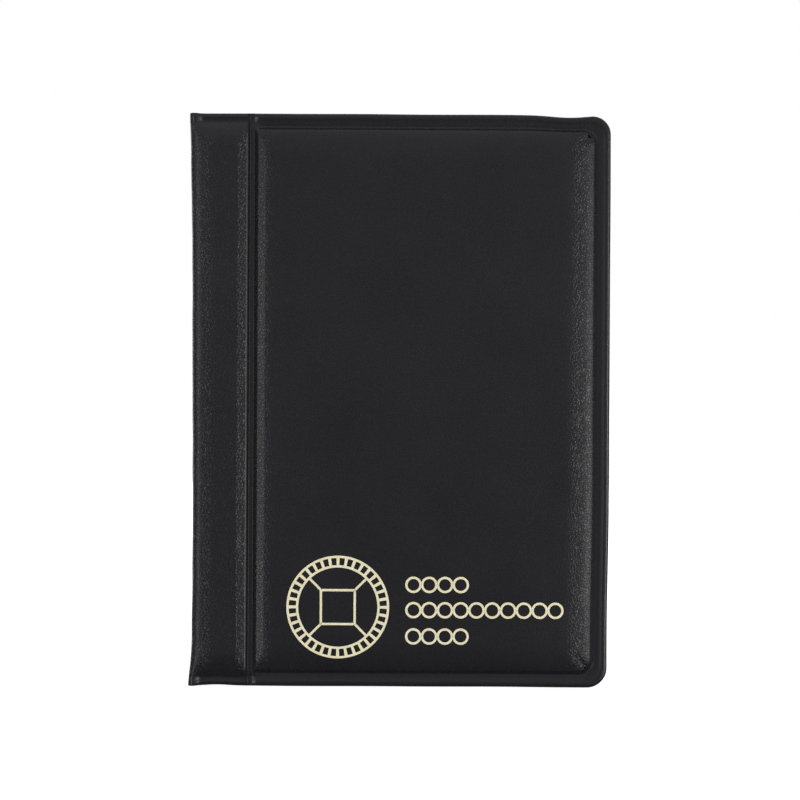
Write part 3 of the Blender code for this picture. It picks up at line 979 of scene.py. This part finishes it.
# Azimuth, elevation, distance, width, height and radiance of each softbox
SOFTBOXES = {
    "right_softbox": (44, -6, 0.95, 0.30, 0.55, 4.5),
    "left_softbox": (-42, -6, 0.95, 0.32, 0.55, 2.0),
    "back_right_softbox": (160, 15, 1.3, 1.4, 1.2, 1.4),
    "back_left_softbox": (-158, 15, 1.3, 1.2, 1.2, 1.6),
}
# The world's dim glow rises from the first strength at the first height to the second at the second
GLOW_HEIGHTS = (-0.3, 0.9)
GLOW_STRENGTHS = (0.03, 0.42)
LENS = 90
SENSOR = 36
FRAME_WIDTH = 0.2434
CAMERA_RISE = 0.1
CAMERA_ROLL = -0.3


def stage_floor():
    bm = bmesh.new()
    bmesh.ops.create_circle(bm, cap_ends=True, radius=FLOOR_RADIUS, segments=96)
    mesh = bpy.data.meshes.new("floor")
    bm.to_mesh(mesh)
    bm.free()
    floor = bpy.data.objects.new("floor", mesh)
    bpy.context.scene.collection.objects.link(floor)
    s = Surface("pale_floor", Base_Color=(0.86, 0.86, 0.86, 1), Roughness=0.9)
    s.set("Emission Strength", 0.84)
    s.set("Emission Color", (1, 1, 1, 1))
    mesh.materials.append(s.material)
    floor.visible_glossy = False
    floor.visible_shadow = False
    floor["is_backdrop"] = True


def area_light(name, azimuth, elevation, distance, width, height, radiance):
    """A softbox that faces the album from an azimuth round it, 0 being the camera's side."""
    data = bpy.data.lights.new(name, "AREA")
    data.shape = "RECTANGLE"
    data.size, data.size_y = width, height
    data.energy = radiance * math.pi * width * height
    lamp = bpy.data.objects.new(name, data)
    a, e = math.radians(azimuth), math.radians(elevation)
    away = Vector((math.sin(a) * math.cos(e), -math.cos(a) * math.cos(e), math.sin(e)))
    centre = Vector((0, 0, HEIGHT / 2 * MM))
    lamp.location = centre + away * distance
    lamp.rotation_euler = (-away).to_track_quat("-Z", "Y").to_euler()
    bpy.context.scene.collection.objects.link(lamp)
    return lamp


def studio():
    world = bpy.data.worlds.new("studio")
    world.use_nodes = True
    tree = world.node_tree
    tree.nodes.clear()
    out = tree.nodes.new("ShaderNodeOutputWorld")
    seen = tree.nodes.new("ShaderNodeBackground")
    seen.inputs["Color"].default_value = (1, 1, 1, 1)
    seen.inputs["Strength"].default_value = 1.0
    glow = tree.nodes.new("ShaderNodeBackground")
    glow.inputs["Color"].default_value = (1, 1, 1, 1)
    place = tree.nodes.new("ShaderNodeTexCoord")
    parts = tree.nodes.new("ShaderNodeSeparateXYZ")
    height = tree.nodes.new("ShaderNodeMapRange")
    for socket, value in zip(height.inputs, (0.0, *GLOW_HEIGHTS, *GLOW_STRENGTHS)):
        socket.default_value = value
    tree.links.new(place.outputs["Generated"], parts.inputs[0])
    tree.links.new(parts.outputs["Z"], height.inputs["Value"])
    tree.links.new(height.outputs[0], glow.inputs["Strength"])
    path = tree.nodes.new("ShaderNodeLightPath")
    mix = tree.nodes.new("ShaderNodeMixShader")
    tree.links.new(path.outputs["Is Camera Ray"], mix.inputs["Fac"])
    tree.links.new(glow.outputs[0], mix.inputs[1])
    tree.links.new(seen.outputs[0], mix.inputs[2])
    tree.links.new(mix.outputs[0], out.inputs["Surface"])
    bpy.context.scene.world = world
    for name, values in SOFTBOXES.items():
        area_light(name, *values)


def camera():
    data = bpy.data.cameras.new("camera")
    data.lens = LENS
    data.sensor_width = SENSOR
    data.clip_start = 0.01
    cam = bpy.data.objects.new("camera", data)
    distance = FRAME_WIDTH / (SENSOR / LENS)
    cam.location = (0.0, -(HALF * MM + distance), (HEIGHT / 2 + CAMERA_RISE) * MM)
    cam.rotation_euler = (math.radians(90), math.radians(CAMERA_ROLL), 0)
    bpy.context.scene.collection.objects.link(cam)
    bpy.context.scene.camera = cam


stage_floor()
studio()
camera()
bpy.context.scene.view_settings.view_transform = "Standard"

low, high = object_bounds()
